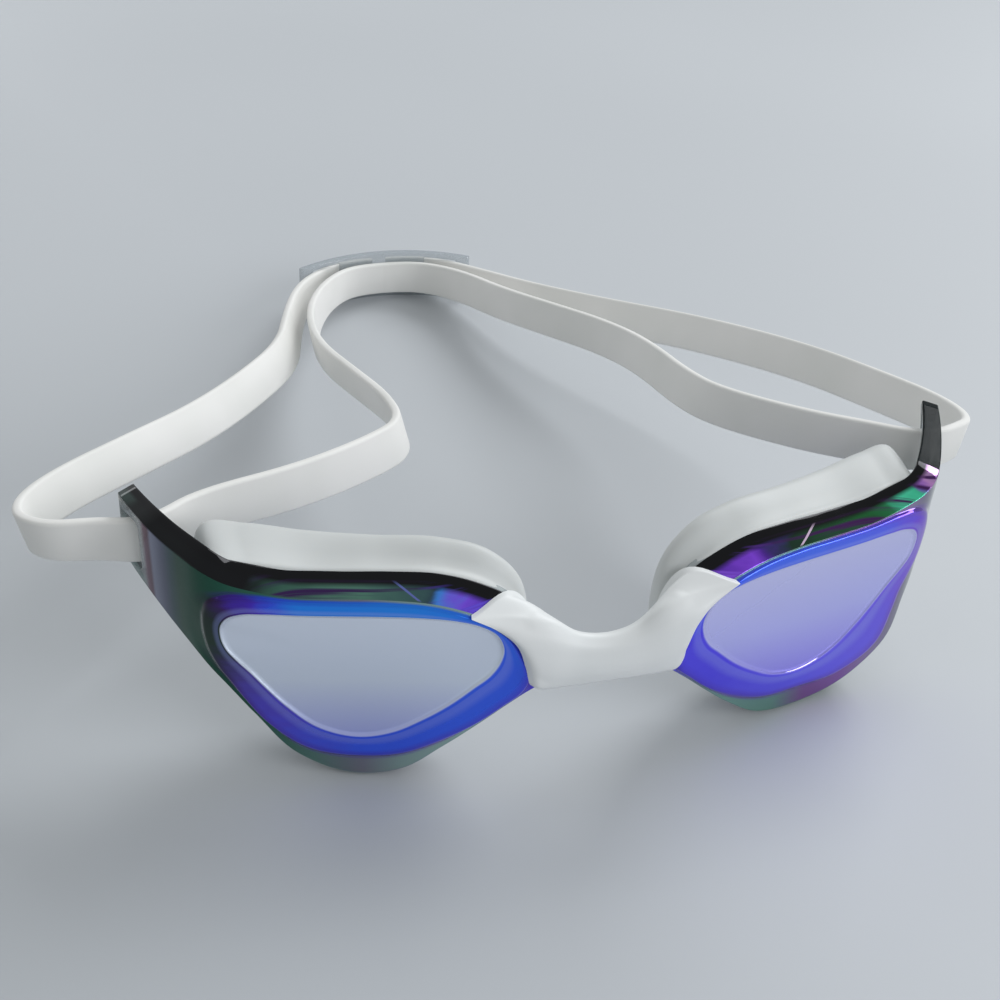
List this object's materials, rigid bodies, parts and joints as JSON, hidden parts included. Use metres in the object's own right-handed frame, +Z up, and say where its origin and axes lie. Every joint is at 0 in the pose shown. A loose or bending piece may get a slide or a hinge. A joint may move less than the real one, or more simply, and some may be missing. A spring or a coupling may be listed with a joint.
{
  "type": "swim goggles",
  "caption": "Low-profile racing swim goggles with mirrored wing-shaped lens bodies, soft gaskets, a saddle nose bridge, a flat double strap and a clear rear clip.",
  "frame": {"origin": "middle of the bottom of the bounding box, on the surface that the goggles stand on; the nose plane is parallel to YZ, 2.3 mm to the +X side, because the slack strap isn't symmetric", "axes": "+Z up as the goggles stand on a table on their lens edges and rear clip; the windows face -Y; +X is the wearer's left"},
  "size_m": [0.1664, 0.1758, 0.043],
  "materials": {
    "mirrored_polycarbonate": "blue-violet mirror coating on moulded clear polycarbonate",
    "seal_silicone": "satin white liquid silicone",
    "bridge_silicone": "satin white silicone",
    "strap_silicone": "matte white silicone band",
    "clear_plastic": "clear moulded polycarbonate"
  },
  "bodies": {
    "bridge_and_strap": {"nose_bridge": "bridge_silicone", "left_strap": "strap_silicone", "right_strap": "strap_silicone", "back_clip": "clear_plastic"},
    "left_cup": {"left_lens": "mirrored_polycarbonate", "left_gasket": "seal_silicone"},
    "right_cup": {"right_lens": "mirrored_polycarbonate", "right_gasket": "seal_silicone"}
  },
  "joints": [
    {"name": "left_cup_fold", "type": "hinge", "parent": "bridge_and_strap", "child": "left_cup", "pos_m": [0.01228, -0.08337, 0.027], "axis": [0, 0, 1], "range_deg": [-8, 18], "stiffness_Nm_per_rad": 0.02, "deforming": ["left_strap", "nose_bridge"]},
    {"name": "right_cup_fold", "type": "hinge", "parent": "bridge_and_strap", "child": "right_cup", "pos_m": [-0.00772, -0.08337, 0.027], "axis": [0, 0, -1], "range_deg": [-8, 18], "stiffness_Nm_per_rad": 0.02, "deforming": ["right_strap"]}
  ]
}
